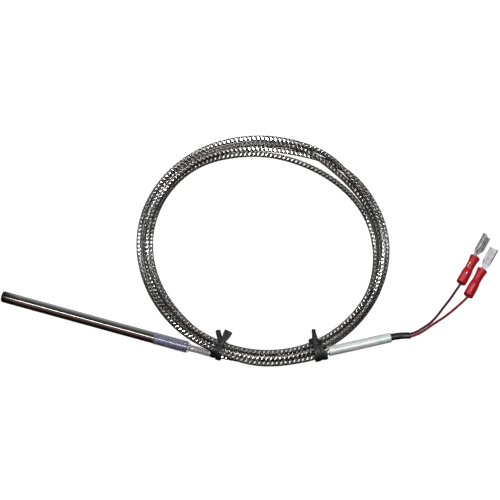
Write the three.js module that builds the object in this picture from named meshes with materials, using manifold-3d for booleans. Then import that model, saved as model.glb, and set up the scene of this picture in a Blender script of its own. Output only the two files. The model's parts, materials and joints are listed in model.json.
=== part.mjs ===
// Thermocouple probe: a thin steel sheath with its junction and thermoelements inside, a braided lead
// wound into a coil held by two twist ties, and two wires that end in push-on receptacles.
// Millimetres. +X runs along the probe from its closed tip towards the lead, and +Z is up.
// The origin lies on the ground plane, below the middle of the probe with its strain relief.
import * as THREE from "three";
import { mergeVertices } from "three/addons/utils/BufferGeometryUtils.js";
import Module from "manifold-3d";

const wasm = await Module();
wasm.setup();

// ---- driving dimensions -------------------------------------------------------------------------

const GAP = 0.3; // between pieces that meet inside a turned group, or at an angle
const FIT = 0.05; // between coaxial pieces that meet in the probe

// Probe
const SHEATH_LENGTH = 77;
const SHEATH_R = 2.25;
const SHEATH_WALL = 0.5;
const NOSE_LENGTH = 0.9;
const NOSE_FLAT_R = 1.35;
const SPIGOT_LENGTH = 1.8;
const JUNCTION_R = 0.55;
const ELEMENT_R = 0.25;
const ELEMENT_PITCH = 1.3; // between the two thermoelements
const BEAD_COUNT = 6;
const BEAD_LENGTH = 8;
const BEAD_GAP = 0.3;
const BEAD_R = 1.6;
const BEAD_BORE_R = 0.33;
const FERRULE_LENGTH = 5;
const FERRULE_R = 0.5;
const FERRULE_BORE_R = 0.32;
const CORE_R = 0.45; // insulated core of the lead
const SEAL_LENGTH = 4;
const BUSH_LENGTH = 6;

// Clear strain relief, shrunk over the end of the sheath and over the lead
const RELIEF_WALL = 0.25;
const RELIEF_ON_SHEATH = 13.6;
const RELIEF_ON_LEAD = 10;
const RELIEF_NECK = 1.2;

// Lead and its coil
const LEAD_R = 1.1;
const COIL_CENTRE = new THREE.Vector3(49.8, 50.6, 0);
const COIL_OUTER_R = 48.6;
const COIL_INNER_R = 42.6;
const COIL_BOTTOM = 0.5;
const COIL_TOP = 4.9;

// Twist ties: angle of each round the coil, how far out its band reaches, and how its tails lean
const TIE_RIBBON = 0.35;
const TIE_WIDTH = 3.0;
const TIES = [
  { name: "twist_tie_1", angle: 265.2, reach: 52.2, tails: [[-1.4, 3.6, 0.9], [3.0, 2.6, 1.2]] },
  { name: "twist_tie_2", angle: 309.6, reach: 53.9, tails: [[2.2, 3.4, 0.9], [0.6, 2.4, 1.4]] },
];

// Straight tail of the lead, with its marker sleeve and shrink boot
const TAIL_START = new THREE.Vector3(87.8, 14.45, 2.0);
const TAIL_ANGLE = 30.3;
const MARKER_LENGTH = 25.3;
const MARKER_R = 1.93;
const MARKER_WALL = 0.25;
const BOOT_R = 1.38;
const TAIL_LEAD_END = 26.0;

// Wires beyond the boot
const WIRE_R = 0.5;
const WIRE_HALF_PITCH = 0.56;

// Push-on receptacles, measured along their own axis from the wire end of the insulating sleeve
const TERMINAL_Z = 2.2;
const SLEEVE_LENGTH = 12.6;
const WIRE_INSERT = 3.6;
const CONDUCTOR_R = 0.33;
const CONDUCTOR_END = 9.2;
const BARREL_FROM = 4.2;
const BARREL_TO = 9.6;
const BARREL_R = 0.85;
const BARREL_BORE_R = 0.45;
const SUPPORT_FROM = 0.6;
const SUPPORT_TO = 8.8;
const SUPPORT_R = 1.15;
const SUPPORT_BORE_R = 0.92;
const NECK_FROM = 9.3;
const NECK_WIDTH = 1.7;
const NECK_WALL = 0.95; // height of the neck's walls above the underside
const RECEPTACLE_FROM = 14.6;
const RECEPTACLE_TO = 23.6;
const RECEPTACLE_WIDTH = 3.4;
const RECEPTACLE_HEIGHT = 2.2;
const SHOULDER = 1.7; // length over which the walls sweep in to the neck
const SHEET = 0.3; // thickness of the stamped sheet
const LIP = 0.3; // how far each wall's top edge turns inwards

// ---- places worked out from them ----------------------------------------------------------------

const PROBE_LENGTH = SHEATH_LENGTH + RELIEF_ON_LEAD;
const TIP_X = -PROBE_LENGTH / 2;
const SHEATH_END_X = TIP_X + SHEATH_LENGTH;
const RELIEF_END_X = PROBE_LENGTH / 2;
const AXIS_Z = SHEATH_R + RELIEF_WALL;
const SHEATH_BORE_R = SHEATH_R - SHEATH_WALL;
const JUNCTION_X = TIP_X + NOSE_LENGTH + SPIGOT_LENGTH + JUNCTION_R + GAP;
const BEADS_FROM_X = JUNCTION_X + 3;
const BEADS_TO_X = BEADS_FROM_X + BEAD_COUNT * (BEAD_LENGTH + BEAD_GAP);
const FERRULE_FROM_X = BEADS_TO_X + 2;
const FERRULE_MID_X = FERRULE_FROM_X + FERRULE_LENGTH / 2;
const FERRULE_TO_X = FERRULE_FROM_X + FERRULE_LENGTH;
const BUSH_FROM_X = SHEATH_END_X - BUSH_LENGTH;
const LEAD_FROM_X = BUSH_FROM_X - 0.5;
const SEAL_TO_X = LEAD_FROM_X - GAP;
const SEAL_FROM_X = SEAL_TO_X - SEAL_LENGTH;

// The lead from the rear bush to the coil's outer face, and from the coil to the boot.
const LEAD_PROBE_ROUTE = [
  [LEAD_FROM_X, 0, AXIS_Z],
  [SHEATH_END_X, 0, AXIS_Z],
  [38.5, 0, AXIS_Z],
  [42.0, 0, AXIS_Z],
  [44.0, 0.05, 2.45],
  [47.0, 0.35, 2.1],
  [50.0, 0.65, 1.75],
];
const LEAD_TAIL_ROUTE = [
  [-14.0, -0.9, -0.1],
  [-9.0, -1.2, 0],
  [-5.0, -0.9, 0],
  [-2.0, -0.45, 0],
  [1.0, -0.2, 0],
  [5.0, 0, 0],
  [12.0, 0, 0],
  [20.0, 0, 0],
  [TAIL_LEAD_END, 0, 0],
];

// The boot's centre line on the tail: straight over the lead, then bent towards the receptacles.
// Its bore runs past both ends, and the wires inside it start at the lead's end.
const BOOT_BEND = [
  [28.0, -0.1, 0],
  [30.0, -0.38, 0],
  [32.6, -0.93, 0],
];
const BOOT_ROUTE = [[20.4, 0, 0], [23.0, 0, 0], [TAIL_LEAD_END, 0, 0], ...BOOT_BEND, [33.0, -1.02, 0]];
const BORE_ROUTE = [[19.8, 0, 0], [23.0, 0, 0], [TAIL_LEAD_END, 0, 0], ...BOOT_BEND, [33.6, -1.15, 0]];

// Each wire: its route from the boot's mouth, and the place, heading and roll of its receptacle.
const WIRES = [
  {
    pole: "positive",
    side: 1,
    route: [
      [118.9, 32.8, 1.6],
      [121.2, 35.5, 1.6],
      [123.0, 38.0, 1.5],
      [124.8, 41.9, 1.4],
      [126.2, 46.0, 1.4],
      [127.6, 49.9, 1.4],
      [128.9, 54.0, 1.7],
    ],
    terminal: [130.0, 57.8],
    heading: 78.9,
    roll: 56,
  },
  {
    pole: "negative",
    side: -1,
    route: [
      [119.7, 32.0, 1.6],
      [122.1, 34.8, 1.6],
      [123.9, 37.3, 1.5],
      [125.5, 39.4, 1.4],
      [127.5, 41.9, 1.4],
      [129.6, 45.0, 1.4],
      [131.7, 48.4, 1.6],
    ],
    terminal: [134.2, 53.25],
    heading: 78.7,
    roll: 0,
  },
];

// ---- materials ----------------------------------------------------------------------------------

const FINISHES = {
  polished_steel: [0xb9bbbd, 0.18, 1.0],
  weld: [0x4a4642, 0.45, 1.0],
  braid: [0x8f9294, 0.35, 1.0],
  thermo_alloy: [0x9c8f7c, 0.4, 1.0],
  ceramic: [0xe9e4d8, 0.6, 0.0],
  epoxy: [0x2f2b28, 0.5, 0.0],
  clear_shrink: [0xa9acb8, 0.25, 0.0],
  tie_plastic: [0x14181a, 0.4, 0.0],
  marker_white: [0xe2e6e4, 0.5, 0.0],
  boot_black: [0x1d1c20, 0.5, 0.0],
  wire_purple: [0x3b1f26, 0.4, 0.0],
  wire_maroon: [0x6b2229, 0.4, 0.0],
  tinned_brass: [0xc9c6c4, 0.25, 1.0],
  copper: [0xb87345, 0.35, 1.0],
  red_vinyl: [0xa31f1c, 0.4, 0.0],
};

function material(finish) {
  const [color, roughness, metalness] = FINISHES[finish];
  return new THREE.MeshStandardMaterial({ color, roughness, metalness });
}

function piece(name, geometry, finish) {
  const mesh = new THREE.Mesh(geometry, material(finish));
  mesh.name = name;
  return mesh;
}

// ---- shapes -------------------------------------------------------------------------------------

// A body turned about the X axis from a closed outline of [x, radius] points, anticlockwise.
function turned(outline, segments = 24) {
  const points = outline.map(([x, r]) => new THREE.Vector2(Math.max(r, 0), x));
  const onAxis = outline[0][1] === 0 && outline[outline.length - 1][1] === 0;
  if (!onAxis) points.push(points[0].clone());
  const geometry = new THREE.LatheGeometry(points.reverse(), segments);
  geometry.rotateZ(-Math.PI / 2);
  return geometry;
}

// A straight tube along X between two radii.
function tube(from, to, inner, outer, segments = 24) {
  return turned([[from, inner], [from, outer], [to, outer], [to, inner]].reverse(), segments);
}

function polygon(radius, sides, cx = 0, cy = 0) {
  const points = [];
  for (let i = 0; i < sides; i++) {
    const a = (2 * Math.PI * (i + 0.5)) / sides;
    points.push(new THREE.Vector2(cx + radius * Math.cos(a), cy + radius * Math.sin(a)));
  }
  return points;
}

// A round section swept along a smooth curve through the given points.
function swept(route, radius, steps, sides = 8) {
  const curve = new THREE.CatmullRomCurve3(
    route.map((p) => new THREE.Vector3(...p)),
    false,
    "centripetal",
  );
  return new THREE.ExtrudeGeometry(new THREE.Shape(polygon(radius, sides)), {
    steps,
    extrudePath: curve,
  });
}

// A Shape drawn in the YZ plane, extruded along X from one station to another.
function along(shape, from, to) {
  const geometry = new THREE.ExtrudeGeometry(shape, { depth: to - from, bevelEnabled: false });
  geometry.applyMatrix4(
    new THREE.Matrix4().makeBasis(
      new THREE.Vector3(0, 1, 0),
      new THREE.Vector3(0, 0, 1),
      new THREE.Vector3(1, 0, 0),
    ),
  );
  return geometry.translate(from, 0, 0);
}

function toSolid(geometry) {
  const bare = geometry.clone();
  bare.deleteAttribute("normal");
  bare.deleteAttribute("uv");
  const merged = mergeVertices(bare, 1e-4);
  return new wasm.Manifold(
    new wasm.Mesh({
      numProp: 3,
      vertProperties: new Float32Array(merged.attributes.position.array),
      triVerts: new Uint32Array(merged.index.array),
    }),
  );
}

function toGeometry(solid) {
  const mesh = solid.getMesh();
  const geometry = new THREE.BufferGeometry();
  geometry.setAttribute("position", new THREE.BufferAttribute(mesh.vertProperties, 3));
  geometry.setIndex(new THREE.BufferAttribute(mesh.triVerts, 1));
  geometry.computeVertexNormals();
  return geometry;
}

function joined(geometries) {
  return toGeometry(geometries.map(toSolid).reduce((a, b) => a.add(b)));
}

// ---- probe --------------------------------------------------------------------------------------

function sheathTube() {
  const from = TIP_X + NOSE_LENGTH + FIT;
  return piece("sheath_tube", tube(from, SHEATH_END_X, SHEATH_BORE_R, SHEATH_R), "polished_steel");
}

// The welded end: a flat face with a rounded shoulder, and a spigot inside the tube.
function tipPlug() {
  const outline = [[TIP_X, 0], [TIP_X, NOSE_FLAT_R]];
  const steps = 5;
  for (let i = 1; i <= steps; i++) {
    const a = (i / steps) * (Math.PI / 2);
    const r = NOSE_FLAT_R + (SHEATH_R - NOSE_FLAT_R) * Math.sin(a);
    outline.push([TIP_X + NOSE_LENGTH * (1 - Math.cos(a)), r]);
  }
  const spigotR = SHEATH_BORE_R - FIT;
  const shoulder = TIP_X + NOSE_LENGTH;
  outline.push([shoulder, spigotR], [shoulder + SPIGOT_LENGTH, spigotR], [shoulder + SPIGOT_LENGTH, 0]);
  return piece("tip_plug", turned(outline.reverse()), "weld");
}

function hotJunction() {
  const bead = new THREE.SphereGeometry(JUNCTION_R, 12, 8);
  return piece("hot_junction", bead.translate(JUNCTION_X, 0, 0), "weld");
}

function thermoelement(pole, side) {
  const y = (side * ELEMENT_PITCH) / 2;
  const route = [
    [JUNCTION_X + JUNCTION_R + FIT, side * (ELEMENT_R + FIT), 0],
    [JUNCTION_X + JUNCTION_R + 0.9, side * 0.5, 0],
    [BEADS_FROM_X - 0.3, y, 0],
    [BEADS_FROM_X + 1, y, 0],
    [(BEADS_FROM_X + BEADS_TO_X) / 2, y, 0],
    [FERRULE_MID_X - GAP / 2, y, 0],
  ];
  return piece(`thermoelement_${pole}`, swept(route, ELEMENT_R, 24), "thermo_alloy");
}

// A cylinder along X with two bores, for the ceramic beads and for the potting seal.
function twinBore(from, to, radius, boreR) {
  const shape = new THREE.Shape(polygon(radius, 16));
  for (const side of [-1, 1]) {
    shape.holes.push(new THREE.Path(polygon(boreR, 8, (side * ELEMENT_PITCH) / 2)));
  }
  return along(shape, from, to);
}

function insulatorBeads() {
  const beads = [];
  for (let i = 0; i < BEAD_COUNT; i++) {
    const from = BEADS_FROM_X + i * (BEAD_LENGTH + BEAD_GAP);
    const bead = twinBore(from, from + BEAD_LENGTH, BEAD_R, BEAD_BORE_R);
    beads.push(piece(`insulator_bead_${i + 1}`, bead, "ceramic"));
  }
  return beads;
}

function crimpFerrule(pole, side) {
  const ferrule = tube(FERRULE_FROM_X, FERRULE_TO_X, FERRULE_BORE_R, FERRULE_R, 12);
  ferrule.translate(0, (side * ELEMENT_PITCH) / 2, 0);
  return piece(`splice_ferrule_${pole}`, ferrule, "tinned_brass");
}

// The lead's own insulated core: bare in the ferrule, insulated from there to the lead.
function leadCore(pole, side) {
  const bareFrom = FERRULE_MID_X + GAP / 2;
  const insulatedFrom = FERRULE_TO_X + GAP;
  const core = turned(
    [
      [SEAL_TO_X, 0],
      [SEAL_TO_X, CORE_R],
      [insulatedFrom, CORE_R],
      [insulatedFrom, ELEMENT_R],
      [bareFrom, ELEMENT_R],
      [bareFrom, 0],
    ],
    8,
  );
  core.translate(0, (side * ELEMENT_PITCH) / 2, 0);
  return piece(`lead_core_${pole}`, core, side > 0 ? "wire_purple" : "wire_maroon");
}

function pottingSeal() {
  const seal = twinBore(SEAL_FROM_X, SEAL_TO_X, SHEATH_BORE_R - FIT, CORE_R + FIT);
  return piece("potting_seal", seal, "epoxy");
}

function rearBush() {
  const bush = tube(BUSH_FROM_X, SHEATH_END_X, LEAD_R + FIT, SHEATH_BORE_R - FIT);
  return piece("rear_bush", bush, "tinned_brass");
}

// Shrunk tubing: wide over the sheath, then necked down on to the lead.
function strainReliefSleeve() {
  const from = SHEATH_END_X - RELIEF_ON_SHEATH;
  const neckTo = SHEATH_END_X + FIT + RELIEF_NECK;
  const wideIn = SHEATH_R + FIT;
  const wideOut = SHEATH_R + RELIEF_WALL;
  const slimIn = LEAD_R + FIT;
  const slimOut = LEAD_R + FIT + RELIEF_WALL;
  const outline = [
    [from, wideIn],
    [SHEATH_END_X + FIT, wideIn],
    [neckTo, slimIn],
    [RELIEF_END_X, slimIn],
    [RELIEF_END_X, slimOut],
    [neckTo + RELIEF_WALL, slimOut],
    [SHEATH_END_X + RELIEF_WALL, wideOut],
    [from, wideOut],
  ];
  return piece("strain_relief_sleeve", turned(outline), "clear_shrink");
}

function probe() {
  const group = new THREE.Group();
  group.position.z = AXIS_Z;
  group.add(sheathTube(), tipPlug(), hotJunction(), ...insulatorBeads());
  for (const { pole, side } of WIRES) {
    group.add(thermoelement(pole, side), crimpFerrule(pole, side), leadCore(pole, side));
  }
  group.add(pottingSeal(), rearBush(), strainReliefSleeve());
  return group;
}

// ---- lead, coil and ties ------------------------------------------------------------------------

function leadCoil() {
  const round = 1.0;
  const outline = [
    [COIL_INNER_R + round, COIL_BOTTOM],
    [COIL_OUTER_R - round, COIL_BOTTOM],
    [COIL_OUTER_R, COIL_BOTTOM + round],
    [COIL_OUTER_R, COIL_TOP - round],
    [COIL_OUTER_R - round, COIL_TOP],
    [COIL_INNER_R + round, COIL_TOP],
    [COIL_INNER_R, COIL_TOP - round],
    [COIL_INNER_R, COIL_BOTTOM + round],
    [COIL_INNER_R + round, COIL_BOTTOM],
  ].map(([r, z]) => new THREE.Vector2(r, z));
  const ring = new THREE.LatheGeometry(outline, 72);
  ring.rotateX(Math.PI / 2);
  const mesh = piece("lead_coil", ring, "braid");
  mesh.position.copy(COIL_CENTRE);
  return mesh;
}

function roundedRectangle(y0, z0, y1, z1, radius, Kind) {
  const outline = new Kind();
  outline.moveTo(y0 + radius, z0);
  outline.lineTo(y1 - radius, z0);
  outline.absarc(y1 - radius, z0 + radius, radius, -Math.PI / 2, 0);
  outline.lineTo(y1, z1 - radius);
  outline.absarc(y1 - radius, z1 - radius, radius, 0, Math.PI / 2);
  outline.lineTo(y0 + radius, z1);
  outline.absarc(y0 + radius, z1 - radius, radius, Math.PI / 2, Math.PI);
  outline.lineTo(y0, z0 + radius);
  outline.absarc(y0 + radius, z0 + radius, radius, Math.PI, 1.5 * Math.PI);
  outline.closePath();
  return outline;
}

// A flat ribbon round the bundle, twisted together at its inner top edge, with two free tails.
function twistTie({ name, angle, reach, tails }) {
  const inside = { y0: -reach, z0: 0.4, y1: -COIL_INNER_R + 0.35, z1: COIL_TOP + 0.35 };
  const band = roundedRectangle(
    inside.y0 - TIE_RIBBON,
    inside.z0 - TIE_RIBBON,
    inside.y1 + TIE_RIBBON,
    inside.z1 + TIE_RIBBON,
    1.3,
    THREE.Shape,
  );
  band.holes.push(roundedRectangle(inside.y0, inside.z0, inside.y1, inside.z1, 1.0, THREE.Path));
  const shapes = [along(resampled(band), -TIE_WIDTH / 2, TIE_WIDTH / 2)];

  const knot = new THREE.Vector3(0, inside.y1 - 0.5, inside.z1 + 0.1);
  const neck = new THREE.CylinderGeometry(0.75, 1.0, 2.0, 8);
  neck.rotateX(Math.PI / 4);
  shapes.push(neck.translate(knot.x, knot.y + 0.5, knot.z + 0.6));
  for (const [dx, dy, dz] of tails) {
    const start = knot.clone().add(new THREE.Vector3(0, 0.5, 0.6));
    const end = start.clone().add(new THREE.Vector3(dx, dy, dz));
    shapes.push(ribbonTail(start, end));
  }
  const mesh = piece(name, joined(shapes), "tie_plastic");
  mesh.position.copy(COIL_CENTRE);
  mesh.rotation.z = THREE.MathUtils.degToRad(angle - 270);
  return mesh;
}

// Arcs become a few straight runs, so that a band stays light.
function resampled(shape) {
  const { shape: outer, holes } = shape.extractPoints(3);
  const result = new THREE.Shape(outer);
  result.holes = holes.map((points) => new THREE.Path(points));
  return result;
}

function ribbonTail(start, end) {
  const half = TIE_WIDTH / 2 - 0.4;
  const thick = TIE_RIBBON / 2;
  const section = new THREE.Shape([
    new THREE.Vector2(-half, -thick),
    new THREE.Vector2(half, -thick),
    new THREE.Vector2(half, thick),
    new THREE.Vector2(-half, thick),
  ]);
  const middle = start.clone().lerp(end, 0.5).add(new THREE.Vector3(0, 0, 0.5));
  const curve = new THREE.QuadraticBezierCurve3(start, middle, end);
  return new THREE.ExtrudeGeometry(section, { steps: 3, extrudePath: curve });
}

function leadProbeEnd() {
  return piece("lead_probe_end", swept(LEAD_PROBE_ROUTE, LEAD_R, 16), "braid");
}

// ---- straight tail: lead, boot and marker sleeve ------------------------------------------------

function tail() {
  const group = new THREE.Group();
  group.position.copy(TAIL_START);
  group.rotation.z = THREE.MathUtils.degToRad(TAIL_ANGLE);
  const marker = tube(0, MARKER_LENGTH, MARKER_R - MARKER_WALL, MARKER_R, 24);
  const outside = toSolid(swept(BOOT_ROUTE, BOOT_R, 12, 16));
  const bore = toSolid(swept(BORE_ROUTE, LEAD_R + FIT, 14, 16));
  group.add(
    piece("lead_tail", swept(LEAD_TAIL_ROUTE, LEAD_R, 16), "braid"),
    piece("marker_sleeve", marker, "marker_white"),
    piece("shrink_boot", toGeometry(outside.subtract(bore)), "boot_black"),
  );
  return group;
}

function onTail(x, y) {
  const a = THREE.MathUtils.degToRad(TAIL_ANGLE);
  return [
    TAIL_START.x + x * Math.cos(a) - y * Math.sin(a),
    TAIL_START.y + x * Math.sin(a) + y * Math.cos(a),
    TAIL_START.z,
  ];
}

function onTerminal({ terminal: [x0, y0], heading }, x) {
  const a = THREE.MathUtils.degToRad(heading);
  return [x0 + x * Math.cos(a), y0 + x * Math.sin(a), TERMINAL_Z];
}

function insulatedWire(wire) {
  const offset = wire.side * WIRE_HALF_PITCH;
  const route = [
    onTail(TAIL_LEAD_END + GAP, offset),
    ...BOOT_BEND.map(([x, y]) => onTail(x, y + offset)),
    ...wire.route,
    onTerminal(wire, -0.8),
    onTerminal(wire, 0.5),
    onTerminal(wire, WIRE_INSERT),
  ];
  const finish = wire.side > 0 ? "wire_purple" : "wire_maroon";
  return piece(`wire_${wire.pole}`, swept(route, WIRE_R, 28), finish);
}

// ---- push-on receptacles ------------------------------------------------------------------------

// Plan of the receptacle and its neck, less a margin at the sides: parallel walls that sweep in
// round a shoulder to the neck.
function channelPlan(margin, to) {
  const half = RECEPTACLE_WIDTH / 2 - margin;
  const neckHalf = NECK_WIDTH / 2 - margin;
  const steps = 5;
  const side = [[to, half]];
  for (let i = 0; i <= steps; i++) {
    const a = (i / steps) * (Math.PI / 2);
    const x = RECEPTACLE_FROM + SHOULDER - (SHOULDER - margin) * Math.sin(a);
    side.push([x, neckHalf + (half - neckHalf) * Math.cos(a)]);
  }
  side.push([NECK_FROM, neckHalf]);
  const other = side.map(([x, y]) => [x, -y]).reverse();
  return new THREE.Shape([...side, ...other].map(([x, y]) => new THREE.Vector2(x, y)));
}

function raised(shape, from, to) {
  const geometry = new THREE.ExtrudeGeometry(shape, { depth: to - from, bevelEnabled: false });
  return toSolid(geometry.translate(0, 0, from));
}

// An open channel with thin walls and turned-in lips, and a lower trough for its neck.
function receptacleBody() {
  const bottom = -RECEPTACLE_HEIGHT / 2;
  const top = -bottom;
  const outside = raised(channelPlan(0, RECEPTACLE_TO), bottom, top);
  const inside = raised(channelPlan(SHEET, RECEPTACLE_TO + 1), bottom + SHEET, top + 1);
  const neckTop = bottom + NECK_WALL;
  const slope = new THREE.Shape([
    new THREE.Vector2(NECK_FROM - 1, neckTop),
    new THREE.Vector2(RECEPTACLE_FROM + 0.2, neckTop),
    new THREE.Vector2(RECEPTACLE_FROM + SHOULDER, top + 0.01),
    new THREE.Vector2(NECK_FROM - 1, top + 0.01),
  ]);
  const wedge = new THREE.ExtrudeGeometry(slope, { depth: 2 * RECEPTACLE_WIDTH, bevelEnabled: false });
  wedge.rotateX(Math.PI / 2).translate(0, RECEPTACLE_WIDTH, 0);
  let body = outside.subtract(inside).subtract(toSolid(wedge));
  const lipFrom = RECEPTACLE_FROM + SHOULDER + 0.5;
  for (const side of [-1, 1]) {
    const lip = new THREE.BoxGeometry(RECEPTACLE_TO - lipFrom, LIP + SHEET, SHEET);
    const y = side * (RECEPTACLE_WIDTH / 2 - (LIP + SHEET) / 2);
    body = body.add(toSolid(lip.translate((RECEPTACLE_TO + lipFrom) / 2, y, top - SHEET / 2)));
  }
  return body;
}

function receptacle(pole) {
  const barrel = tube(BARREL_FROM, BARREL_TO, BARREL_BORE_R, BARREL_R, 12);
  const whole = receptacleBody().add(toSolid(barrel));
  return piece(`receptacle_${pole}`, toGeometry(whole), "tinned_brass");
}

function insulatingSleeve(pole) {
  const outline = [
    [0, 1.5],
    [1.2, SUPPORT_R + FIT],
    [SUPPORT_TO + 0.1, SUPPORT_R + FIT],
    [NECK_FROM - 0.1, 1.5],
    [SLEEVE_LENGTH, 1.8],
    [SLEEVE_LENGTH, 2.15],
    [10.2, 1.82],
    [8.2, 1.64],
    [6.6, 1.7],
    [5.6, 1.98],
    [0.3, 2.06],
    [0, 2.0],
  ];
  return piece(`insulating_sleeve_${pole}`, turned(outline, 20), "red_vinyl");
}

function conductorEnd(pole) {
  const from = WIRE_INSERT + GAP / 2;
  const outline = [[CONDUCTOR_END, 0], [CONDUCTOR_END, CONDUCTOR_R], [from, CONDUCTOR_R], [from, 0]];
  return piece(`conductor_end_${pole}`, turned(outline, 8), "copper");
}

function crimpSupport(pole) {
  const ring = tube(SUPPORT_FROM, SUPPORT_TO, SUPPORT_BORE_R, SUPPORT_R, 16);
  return piece(`crimp_support_${pole}`, ring, "tinned_brass");
}

function terminal({ pole, terminal: [x, y], heading, roll }) {
  const group = new THREE.Group();
  group.position.set(x, y, TERMINAL_Z);
  group.rotation.z = THREE.MathUtils.degToRad(heading);
  const rolled = new THREE.Group();
  rolled.rotation.x = THREE.MathUtils.degToRad(roll);
  rolled.add(receptacle(pole), insulatingSleeve(pole), crimpSupport(pole), conductorEnd(pole));
  group.add(rolled);
  return group;
}

// ---- whole object -------------------------------------------------------------------------------

const thermocouple = new THREE.Group();
thermocouple.add(probe(), leadProbeEnd(), leadCoil(), ...TIES.map(twistTie), tail());
for (const wire of WIRES) {
  thermocouple.add(insulatedWire(wire), terminal(wire));
}

export default thermocouple;
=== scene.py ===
"""Blender look of the thermocouple: a polished sheath with a clear strain relief, a coiled braided
lead with two twist ties, a marker sleeve, a boot, and two wires with insulated receptacles.
Lengths are in metres in the CAD's frame, and MM turns millimetres into them."""

import json
import math

import bpy
import numpy as np
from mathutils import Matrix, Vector

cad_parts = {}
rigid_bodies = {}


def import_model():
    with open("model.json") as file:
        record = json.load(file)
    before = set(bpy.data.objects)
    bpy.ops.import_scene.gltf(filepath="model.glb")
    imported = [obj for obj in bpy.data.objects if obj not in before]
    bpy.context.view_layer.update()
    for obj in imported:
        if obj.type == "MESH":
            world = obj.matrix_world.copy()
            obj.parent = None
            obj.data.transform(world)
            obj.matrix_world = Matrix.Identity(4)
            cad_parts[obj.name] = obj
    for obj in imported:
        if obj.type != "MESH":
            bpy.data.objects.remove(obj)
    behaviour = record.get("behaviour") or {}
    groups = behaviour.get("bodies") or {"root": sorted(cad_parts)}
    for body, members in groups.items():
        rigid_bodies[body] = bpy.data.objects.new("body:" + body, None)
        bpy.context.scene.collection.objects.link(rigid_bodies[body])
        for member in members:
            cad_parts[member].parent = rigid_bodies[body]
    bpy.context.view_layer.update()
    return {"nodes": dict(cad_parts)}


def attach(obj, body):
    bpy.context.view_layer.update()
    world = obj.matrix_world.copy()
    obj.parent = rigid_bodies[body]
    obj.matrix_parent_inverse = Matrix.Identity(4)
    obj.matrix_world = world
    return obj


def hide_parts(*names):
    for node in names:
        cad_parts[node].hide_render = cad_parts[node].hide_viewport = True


MM = 0.001
UP = np.array([0.0, 0.0, 1.0])

# ---- places shared with part.mjs (millimetres) ------------------------------------------------------

SHEATH_R = 2.25
TIP_X = -43.5
SHEATH_END_X = 33.5
RELIEF_FROM_X = 19.9
RELIEF_END_X = 43.5
AXIS_Z = 2.5
LEAD_R = 1.1
COIL_CENTRE = (49.8, 50.6)
TAIL_START = (87.8, 14.45, 2.0)
TAIL_ANGLE = 30.3
TAIL_LEAD_END = 26.0
LEAD_PROBE_ROUTE = [
    (27.0, 0, 2.5),
    (33.5, 0, 2.5),
    (38.5, 0, 2.5),
    (42.0, 0, 2.5),
    (44.0, 0.05, 2.45),
    (47.0, 0.35, 2.1),
    (50.0, 0.65, 1.75),
]
LEAD_TAIL_ROUTE = [
    (-14.0, -0.9, -0.1),
    (-9.0, -1.2, 0),
    (-5.0, -0.9, 0),
    (-2.0, -0.45, 0),
    (1.0, -0.2, 0),
    (5.0, 0, 0),
    (12.0, 0, 0),
    (20.0, 0, 0),
    (TAIL_LEAD_END, 0, 0),
]

MARKER_LENGTH = 25.3
MARKER_R = 1.93
MARKER_BORE_R = 1.68
# The boot's centre line on the tail: straight over the lead's end, then bent.
BOOT_BEND = [(28.0, -0.1, 0), (30.0, -0.38, 0), (32.6, -0.93, 0)]
BOOT_MOUTH = (33.0, -1.02, 0)
BOOT_ROUTE = [
    (20.4, 0, 0), (23.0, 0, 0), (TAIL_LEAD_END, 0, 0),
    *BOOT_BEND, BOOT_MOUTH, (33.6, -1.15, 0),
]
BOOT_FROM = BOOT_ROUTE[0][0]
BOOT_TO = BOOT_MOUTH[0]
BOOT_R = 1.38
BOOT_BORE_R = 1.15

WIRE_R = 0.5
WIRE_HALF_PITCH = 0.56
WIRE_INSERT = 3.6
TERMINAL_Z = 2.2
SLEEVE_LENGTH = 12.6
BARREL_FROM = 4.2
BARREL_TO = 9.6
NECK_FROM = 9.3
NECK_HALF = 0.85
NECK_WALL = 0.95
RECEPTACLE_FROM = 14.6
RECEPTACLE_TO = 23.6
RECEPTACLE_HALF = 1.7
RECEPTACLE_HEIGHT = 2.2
RECEPTACLE_LIP = 0.3
SHOULDER = 1.7
SHEET = 0.3

# Each wire: its route from the boot, its receptacle's place, heading and roll, and the angle round
# its sleeve at which the crimping tool pressed.
WIRES = {
    "positive": {
        "side": 1,
        "route": [
            (118.9, 32.8, 1.6), (121.2, 35.5, 1.6), (123.0, 38.0, 1.5), (124.8, 41.9, 1.4),
            (126.2, 46.0, 1.4), (127.6, 49.9, 1.4), (128.9, 54.0, 1.7),
        ],
        "place": (130.0, 57.8),
        "heading": 78.9,
        "roll": 56,
        "dent": 40,
        "slot": "wire_purple",
    },
    "negative": {
        "side": -1,
        "route": [
            (119.7, 32.0, 1.6), (122.1, 34.8, 1.6), (123.9, 37.3, 1.5), (125.5, 39.4, 1.4),
            (127.5, 41.9, 1.4), (129.6, 45.0, 1.4), (131.7, 48.4, 1.6),
        ],
        "place": (134.2, 53.25),
        "heading": 78.7,
        "roll": 0,
        "dent": 110,
        "slot": "wire_maroon",
    },
}

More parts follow.
